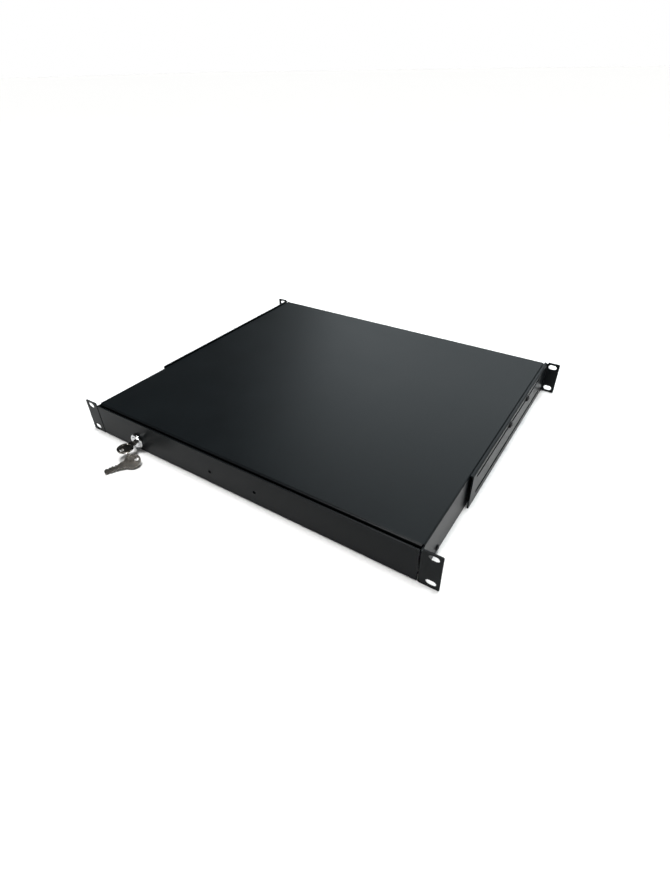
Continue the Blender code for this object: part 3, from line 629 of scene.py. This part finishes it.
def front_nut(node, name, hole, thickness):
    """Replace an engineering nut on a Y axis by a finished one."""
    low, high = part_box(node)
    place = Vector(((low.x + high.x) / 2, low.y, (low.z + high.z) / 2))
    bm = stand(hex_nut(high.z - low.z, hole, thickness), place, (0, 1, 0))
    finish_piece(name, bm, PLAIN_ZINC, body_of(node), [node], 0.06 * MM)


for number in (1, 2, 3, 4):
    front_nut(f"panel_nut_{number}", f"stud_nut_{number}", 2.05 * MM, 3.0 * MM)
front_nut("lock_nut", "lock_hexagon_nut", LOCK_HOLE, 4.0 * MM)
low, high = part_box("lock_washer")
centre = (low + high) / 2
thickness = high.y - low.y
rim = (high.x - low.x) / 2
washer = [(LOCK_HOLE, 0), (rim, 0), (rim, thickness), (LOCK_HOLE, thickness)]
finish_piece("lock_flat_washer", stand(lathe(washer, 72), (centre.x, low.y, centre.z), (0, 1, 0)),
             PLAIN_ZINC, "drawer", ["lock_washer"], FINE_EDGE)

# %% [markdown]
# ## The cam lock
# A cam lock is a chromed zinc barrel with a bevelled bezel in front, held by a nut behind the
# sheet. Inside it turns a plug with a slot for the key, and a screw holds the cam on its tail.
# The barrel is one grid of points: angle one way, height the other. Its radius rises and
# falls with height plus a share of the angle, and that share is what makes a real helical
# thread. The bezel is the front rows of the same grid, so barrel and bezel are one casting.

# %% Lock barrel and bezel
BARREL_PITCH = 1.0 * MM
BARREL_THREAD = 0.35 * MM
BEZEL_FACE = 7.6 * MM
BEZEL_RIM = 1.3 * MM
BEZEL_STEPS = 8


def threaded_barrel(bore, outline, radius, start, end, around=72):
    """Outline rows in front, then a helical thread from start to end, then the bore."""
    bm = bmesh.new()
    step = BARREL_PITCH / 6
    rows = [[(r, y)] * around for r, y in outline]
    count = int((end - start) / step)
    for k in range(count + 1):
        y = start + (end - start) * k / count
        fade = min(1.0, k / 6, (count - k) / 6)
        row = []
        for i in range(around):
            phase = (y / BARREL_PITCH + i / around) % 1.0
            row.append((radius - BARREL_THREAD * fade * abs(2 * phase - 1), y))
        rows.append(row)
    rows += [[(radius - BARREL_THREAD, end)] * around, [(bore, end)] * around]
    rings = []
    for row in rows:
        turns = [tau * i / around for i in range(around)]
        rings.append([bm.verts.new((r * cos(t), y, r * sin(t))) for (r, y), t in zip(row, turns)])
    for near, far in zip(rings, rings[1:] + rings[:1]):
        for i in range(around):
            j = (i + 1) % around
            bm.faces.new((near[i], near[j], far[j], far[i]))
    bmesh.ops.recalc_face_normals(bm, faces=bm.faces)
    return bm


low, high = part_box("lock_body")
lock_axis = Vector(((low.x + high.x) / 2, 0, (low.z + high.z) / 2))
bezel = (high.x - low.x) / 2
face = low.y
sheet_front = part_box("drawer_front")[0].y
plug_low, plug_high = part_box("lock_plug")
plug = (plug_high.x - plug_low.x) / 2
bore = plug + 0.2 * MM
barrel = 8.0 * MM
flange = sheet_front - 0.3 * MM
front_rows = [(bore, face + 0.5 * MM), (bore + 0.35 * MM, face + 0.08 * MM)]
for i in range(BEZEL_STEPS + 1):
    turn = 0.5 * pi * i / BEZEL_STEPS
    front_rows.append((BEZEL_FACE + (bezel - BEZEL_FACE) * sin(turn),
                       face + (flange - BEZEL_RIM - face) * (1 - cos(turn))))
front_rows += [(bezel, flange - 0.15 * MM), (bezel - 0.15 * MM, flange), (barrel, flange)]
front_rows += [(barrel, sheet_front + 0.5 * MM)]
bm = threaded_barrel(bore, front_rows, barrel, sheet_front + 1.6 * MM, high.y)
bm.transform(Matrix.Translation(lock_axis))
finish_piece("lock_barrel_and_bezel", bm, CHROME, "drawer", ["lock_body"])
print("bezel", round(2 * bezel / MM, 1), "mm across on a barrel of", 2 * barrel / MM, "mm")

# %% [markdown]
# ## The turning plug
# The plug's face is dished a little by polishing, with a fine turned line near its rim. The
# key slot is milled through it, and its square tail carries the cam. The cam screw is a short
# machine screw with a domed head and a cross recess.

# %% Plug and cam screw
KEY_SHEET = 1.8 * MM
plug_length = plug_high.y - plug_low.y
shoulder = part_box("lock_cam")[0].y - 0.3 * MM
profile = [(0, 0.35 * MM), (0.5 * plug, 0.28 * MM), (0.74 * plug, 0.12 * MM),
           (0.78 * plug, 0.25 * MM), (0.82 * plug, 0.08 * MM), (plug - 0.35 * MM, 0),
           (plug - 0.1 * MM, 0.08 * MM), (plug, 0.35 * MM), (plug, shoulder - plug_low.y),
           (0, shoulder - plug_low.y)]
front = Vector((lock_axis.x, plug_low.y, lock_axis.z))


def box_tool(low_corner, high_corner):
    """A box between two corners."""
    bm = bmesh.new()
    size = Matrix.Diagonal((*(high_corner - low_corner), 1.0))
    middle = Matrix.Translation((low_corner + high_corner) / 2)
    bmesh.ops.create_cube(bm, size=1.0, matrix=middle @ size)
    return bm


bm = stand(lathe(profile, 80), front, (0, 1, 0))
key_low, key_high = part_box("lock_key")
half_slot = Vector((3.6 * MM, 0, KEY_SHEET / 2 + 0.2 * MM))
bm = carve(bm, box_tool(front - half_slot - Vector((0, 1 * MM, 0)),
                        Vector((front.x, key_high.y + 0.5 * MM, front.z)) + half_slot))
half_tail = Vector((3.0 * MM, 0, 3.0 * MM))
tail = box_tool(Vector((front.x, shoulder - 0.5 * MM, front.z)) - half_tail,
                Vector((front.x, plug_high.y, front.z)) + half_tail)
bm = carve(bm, tail, "UNION")
finish_piece("lock_turning_plug", bm, CHROME, "lock_cylinder", ["lock_plug"])
low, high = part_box("cam_screw")
head = (high.x - low.x) / 2
seat = Vector((lock_axis.x, high.y - 2.0 * MM, lock_axis.z))
bm = stand(pan_head_screw(head, 2.0 * MM, 1.4 * MM, seat.y - low.y), seat, (0, 1, 0))
finish_piece("cam_pan_screw", bm, PLAIN_ZINC, "lock_cylinder", ["cam_screw"], 0.05 * MM)
print("plug", round(2 * plug / MM, 1), "mm across and", round(plug_length / MM, 1), "mm long")

# %% [markdown]
# ## Keys
# A wafer-lock key is blanked from brass strip. The press leaves a round bow with a raised rim,
# and a blade with cuts on both edges and a guide groove down each face. The key is modelled
# flat, once, about the middle of its bow: a punched outline, minus two shallow dishes in the
# bow, minus the ring hole and the two grooves. Each key is then carried to where the
# engineering key lies. That key is flat and symmetric, so its own three axes are the
# directions in which its corners spread least, most, and in between.

# %% Key blank
key_width = key_high.x - key_low.x
BOW = key_width / 2
KEY_LENGTH = key_high.y - key_low.y - BOW
HOLE_RADIUS = 2.6 * MM
HOLE_OFFSET = 4.9 * MM
BLADE = 3.3 * MM
NECK = 4.2 * MM
CUT_DEPTHS = (0.7 * MM, 1.2 * MM, 0.5 * MM, 1.0 * MM)
CUT_PITCH = 3.6 * MM


def blanked_outline():
    """Outline of the key: most of a circle, a short neck and a blade with four cuts an edge."""
    neck_angle = atan2(sqrt(BOW ** 2 - NECK ** 2), NECK)
    around = pi + 2 * neck_angle
    steps = 64
    outline = [(BOW * cos(t), BOW * sin(t))
               for t in (neck_angle - around * i / steps for i in range(steps + 1))]
    shoulder = 13.6 * MM
    left = [(-NECK, shoulder - 0.5 * MM), (-NECK + 0.3 * MM, shoulder), (-BLADE, shoulder + 0.6 * MM)]
    for number, depth in enumerate(CUT_DEPTHS):
        y = shoulder + 3.4 * MM + CUT_PITCH * number
        left += [(-BLADE, y - 1.3 * MM), (depth - BLADE, y - 0.4 * MM),
                 (depth - BLADE, y + 0.4 * MM), (-BLADE, y + 1.3 * MM)]
    left += [(-BLADE, KEY_LENGTH - 2.3 * MM), (-2.2 * MM, KEY_LENGTH - 0.8 * MM),
             (-1.0 * MM, KEY_LENGTH)]
    return outline + left + [(-x, y) for x, y in reversed(left)]


def extruded(outline, thickness):
    """A flat plate about Z = 0 from an outline in X and Y."""
    bm = bmesh.new()
    base = bm.faces.new([bm.verts.new((x, y, -thickness / 2)) for x, y in outline])
    raised = bmesh.ops.extrude_face_region(bm, geom=[base])["geom"]
    tops = [part for part in raised if isinstance(part, bmesh.types.BMVert)]
    bmesh.ops.translate(bm, verts=tops, vec=(0, 0, thickness))
    bmesh.ops.recalc_face_normals(bm, faces=bm.faces)
    return bm


def key_blank():
    """One finished key about the middle of its bow, with its blade along +Y."""
    bm = extruded(blanked_outline(), KEY_SHEET)
    dish = 0.28 * MM
    rim = 1.5 * MM
    for side in (-1, 1):
        level = side * (KEY_SHEET / 2 - dish)
        far = side * KEY_SHEET
        ring = [(0, level), (BOW - rim - dish, level), (BOW - rim + 1.2 * dish, far), (0, far)]
        tool = lathe(ring, 64)
        boss = [(0, level - side * MM), (HOLE_RADIUS + 1.1 * MM, level - side * MM),
                (HOLE_RADIUS + 1.1 * MM, far * 1.1), (0, far * 1.1)]
        island = lathe(boss, 48)
        bmesh.ops.translate(island, verts=island.verts, vec=(0, -HOLE_OFFSET, 0))
        bm = carve(bm, carve(tool, island))
        groove = box_tool(Vector((-0.55 * MM, BOW + 1.2 * MM, min(side * 0.42 * MM, far))),
                          Vector((0.55 * MM, KEY_LENGTH + 1 * MM, max(side * 0.42 * MM, far))))
        bm = carve(bm, groove)
    hole = lathe([(0, -2 * MM), (HOLE_RADIUS, -2 * MM), (HOLE_RADIUS, 2 * MM), (0, 2 * MM)], 48)
    bmesh.ops.translate(hole, verts=hole.verts, vec=(0, -HOLE_OFFSET, 0))
    return carve(bm, hole)


print("key:", round(2 * BOW / MM, 1), "mm bow,", round(KEY_LENGTH / MM, 1), "mm to the tip")

# %% [markdown]
# The directions come from the spread of the corner points, worked out with numpy. The bow is
# the end that reaches less far from the blade's middle, so the blade points to the end whose
# corners lie closer to the centre line.

# %% Place both keys


def corners_of(node):
    """The node's separate corner points, each once, in metres."""
    points = {tuple(round(c, 7) for c in v.co) for v in frame["nodes"][node].data.vertices}
    return np.array(sorted(points))


def spread_axes(points):
    """Unit directions of least, middle and most spread."""
    centred = points - points.mean(axis=0)
    return [Vector(axis) for axis in np.linalg.eigh(centred.T @ centred)[1].T]


def key_place(node):
    """Matrix from the key's own frame to where the engineering key lies."""
    points = corners_of(node)
    normal, across, along = spread_axes(points)
    reach = points @ np.array(along)
    width = np.abs((points - points.mean(axis=0)) @ np.array(across))
    near_low = width[reach < reach.min() + BOW].max()
    near_high = width[reach > reach.max() - BOW].max()
    if near_low < near_high:
        along = -along
        reach = -reach
    if normal.z < 0:
        normal = -normal
    across = along.cross(normal)
    box_middle = [(points @ np.array(axis)).min() / 2 + (points @ np.array(axis)).max() / 2
                  for axis in (across, normal)]
    origin = across * box_middle[0] + normal * box_middle[1] + along * (reach.min() + BOW)
    turn = Matrix((across, along, normal)).transposed().to_4x4()
    print(node, "bow at", [round(c / MM, 1) for c in origin], "mm")
    return Matrix.Translation(origin) @ turn


for node, name, body in (("lock_key", "front_key", "key"),
                         ("spare_key", "hanging_key", "second_key")):
    bm = key_blank()
    bm.transform(key_place(node))
    finish_piece(name, bm, NICKEL, body, [node], FINE_EDGE)

# %% [markdown]
# ## The split ring
# A split ring is spring wire wound twice, flat against itself, with its two ends cut so that a
# key can be threaded on. The path runs round twice. It lies on one side of the ring's plane
# for the first turn and on the other for the second, with a short crossing in between, and
# both ends stop just short of that crossing.

# %% Split ring
WIRE = 0.36 * MM
STACK = 0.37 * MM
ENGINEERING_WIRE = 0.6 * MM


def split_ring(centre, out, side, normal, radius, steps=150, facets=12):
    """Two turns of round wire about a centre, from two in-plane axes and the normal."""
    bm = bmesh.new()
    trim = 0.32
    cross = 0.24
    rings = []
    for k in range(steps + 1):
        turn = trim + (2 * tau - 2 * trim) * k / steps
        share = min(1.0, max(-1.0, (turn - tau) / cross))
        offset = STACK * 0.5 * share * (3 - share * share)
        radial = out * cos(turn) + side * sin(turn)
        spine = centre + radial * radius + normal * offset
        taper = 0.6 if k in (0, steps) else 1.0
        rings.append([bm.verts.new(spine + (radial * cos(a) + normal * sin(a)) * WIRE * taper)
                      for a in (tau * i / facets for i in range(facets))])
    for near, far in zip(rings, rings[1:]):
        for i in range(facets):
            j = (i + 1) % facets
            bm.faces.new((near[i], near[j], far[j], far[i]))
    bm.faces.new(rings[0])
    bm.faces.new(rings[-1])
    bmesh.ops.recalc_face_normals(bm, faces=bm.faces)
    return bm


points = corners_of("key_ring")
normal = spread_axes(points)[0]
centre = Vector((points.max(axis=0) + points.min(axis=0)) / 2)
radius = max((Vector(p) - centre).length for p in points) - ENGINEERING_WIRE
pins = {joint["name"]: Vector(joint["pos_m"]) for joint in frame["joints"] if joint.get("pos_m")}
out = (pins["ring_swing"] - centre).normalized()
side = normal.cross(out)
away = (side - out * 0.4).normalized()
bm = split_ring(centre, away, normal.cross(away), normal, radius)
finish_piece("split_key_ring", bm, NICKEL, "ring", ["key_ring"])
print("ring:", round(2 * radius / MM, 1), "mm across the wire's centre")

# %% [markdown]
# ## Ball bearings
# Each slide runs on two rows of balls at its top and two at its bottom, held apart by thin
# strips called retainers. The balls roll between the flanges of two channels, so their size is
# the gap between those flanges. Every pocket in a strip is a hole a little larger than its
# ball. The engineering strips show where the balls are; holes and balls are added here.

# %% Retainers and balls
BALL_PITCH = 11 * MM
CHANNEL_SHEET = 1.1 * MM


def sphere(radius, place):
    """A ball with enough facets to shade round."""
    bm = bmesh.new()
    bmesh.ops.create_uvsphere(bm, u_segments=20, v_segments=12, radius=radius,
                              matrix=Matrix.Translation(place))
    return bm


def ball_row(node, outer_channel, inner_channel, channel_sheet):
    """Places and radius of the balls that run between two nested channels."""
    low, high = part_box(node)
    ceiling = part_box(outer_channel)[1].z - channel_sheet
    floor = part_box(inner_channel)[1].z
    mid = (low.z + high.z) / 2
    radius = (ceiling - floor) / 2 - 0.05 * MM
    level = (ceiling + floor) / 2 - mid
    side = 1 if low.x > 0 else -1
    x = low.x if side > 0 else high.x
    x += side * (0.3 * MM + radius)
    count = int((high.y - low.y - 6 * MM) / BALL_PITCH) + 1
    start = (low.y + high.y) / 2 - (count - 1) * BALL_PITCH / 2
    places = [Vector((x, start + BALL_PITCH * i, mid + way * level))
              for way in (-1, 1) for i in range(count)]
    return places, radius


total = 0
for side in SIDES:
    for level, outer_member, inner_member in (("outer", "outer", "middle"),
                                              ("inner", "middle", "inner")):
        node = f"ball_retainer_{level}_{side}"
        places, radius = ball_row(node, f"slide_{outer_member}_{side}",
                                  f"slide_{inner_member}_{side}", CHANNEL_SHEET)
        strip = welded(node)
        balls = bmesh.new()
        pockets = bmesh.new()
        for place in places:
            join(balls, sphere(radius, place))
            pin = lathe([(0, -2 * MM), (0.92 * radius, -2 * MM), (0.92 * radius, 2 * MM),
                         (0, 2 * MM)], 20)
            join(pockets, stand(pin, place, (0, 0, 1)))
        total += len(places)
        strip = carve(strip, pockets)
        finish_piece(f"retainer_strip_{level}_{side}", strip, PLAIN_ZINC, body_of(node),
                     [node])
        finish_piece(f"bearing_balls_{level}_{side}", balls, BEARING_STEEL, body_of(node),
                     [])
print("bearing balls:", total, "of", round(2 * radius / MM, 2), "mm")

# %% [markdown]
# ## Floor and light
# The object stands on a pale, matte floor that runs out to the horizon. A soft lamp straight
# above gives the short shadows. A wide softbox behind the object is what the satin top
# reflects, so the top brightens from the near left to the far right. The surroundings are dim
# above and bright in a low band, like a pale studio wall.

# %% Floor
FLOOR_HALF = 40.0
bm = bmesh.new()
corners = [(-FLOOR_HALF, -FLOOR_HALF), (FLOOR_HALF, -FLOOR_HALF), (FLOOR_HALF, FLOOR_HALF),
           (-FLOOR_HALF, FLOOR_HALF)]
bm.faces.new([bm.verts.new((x, y, CAD_BOX[0].z - 0.05 * MM)) for x, y in corners])
floor = plain_object("studio_floor", bm)
paper, tree, shader = new_material("matte white background paper", Roughness=0.9)
fibre = grain(tree, 3 * MM, 3.0)
tree.links.new(ramp(tree, fibre, (0.3, linear("F0F0EF")), (0.7, linear("F4F4F3"))),
               shader.inputs["Base Color"])
floor.data.materials.append(paper)
print("floor:", 2 * FLOOR_HALF, "m wide")

# %% [markdown]
# Two render switches do here what no single real lamp would. The overhead lamp is hidden from
# reflections, so it lights the floor and the paint but leaves the metal its dark tones. The two
# narrow strips, one above and one in front, do the opposite: they give reflections only, and
# draw a line of light along the bend above the drawer and on the lock. The back softbox is an
# ordinary lamp, and it is the one that the top mirrors.

# %% Lamps and surroundings
OVERHEAD_POWER = 3.6
OVERHEAD_SPREAD = radians(26)
WALL_TOP = 0.10
DIM_ABOVE = 0.18
DIM_STRENGTH = 0.05


def soft_box(name, place, target, size, power):
    """A rectangular lamp that faces a target."""
    lamp = bpy.data.lights.new(name, "AREA")
    lamp.shape = "RECTANGLE"
    lamp.size, lamp.size_y = size
    lamp.energy = power
    obj = bpy.data.objects.new(name, lamp)
    bpy.context.scene.collection.objects.link(obj)
    obj.location = place
    obj.rotation_euler = (Vector(target) - Vector(place)).to_track_quat("-Z", "Y").to_euler()
    return obj


overhead = bpy.data.objects.new("overhead", bpy.data.lights.new("overhead", "SUN"))
overhead.data.energy = OVERHEAD_POWER
overhead.data.angle = OVERHEAD_SPREAD
overhead.visible_glossy = False
bpy.context.scene.collection.objects.link(overhead)
back = soft_box("back_softbox", (0.1, 1.85, 1.5), (0.0, 0.1, 0.0), (3.4, 1.4), 52)
back.data.color = linear("F1FBFF")[:3]
edge_strip = soft_box("edge_strip", (-0.03, -0.02, 1.3), (-0.03, -0.1, 0.0), (0.3, 0.5), 17)
low_strip = soft_box("low_strip", (-0.12, -1.5, 0.75), (0.1, -0.2, 0.03), (0.4, 0.9), 32)
for strip in (edge_strip, low_strip):
    strip.visible_diffuse = False
world = bpy.data.worlds.new("studio")
world.use_nodes = True
bpy.context.scene.world = world
tree = world.node_tree
direction = add(tree, "ShaderNodeTexCoord").outputs["Generated"]
height = add(tree, "ShaderNodeSeparateXYZ", {"Vector": direction}).outputs["Z"]
shade = add(tree, "ShaderNodeMapRange", {"Value": height, "From Min": WALL_TOP,
                                         "From Max": DIM_ABOVE, "To Min": 1.0,
                                         "To Max": DIM_STRENGTH})
tree.links.new(shade.outputs["Result"], tree.nodes["Background"].inputs["Strength"])
tree.nodes["Background"].inputs["Color"].default_value = linear("FFFFFF")
bpy.context.scene.view_settings.view_transform = "Standard"
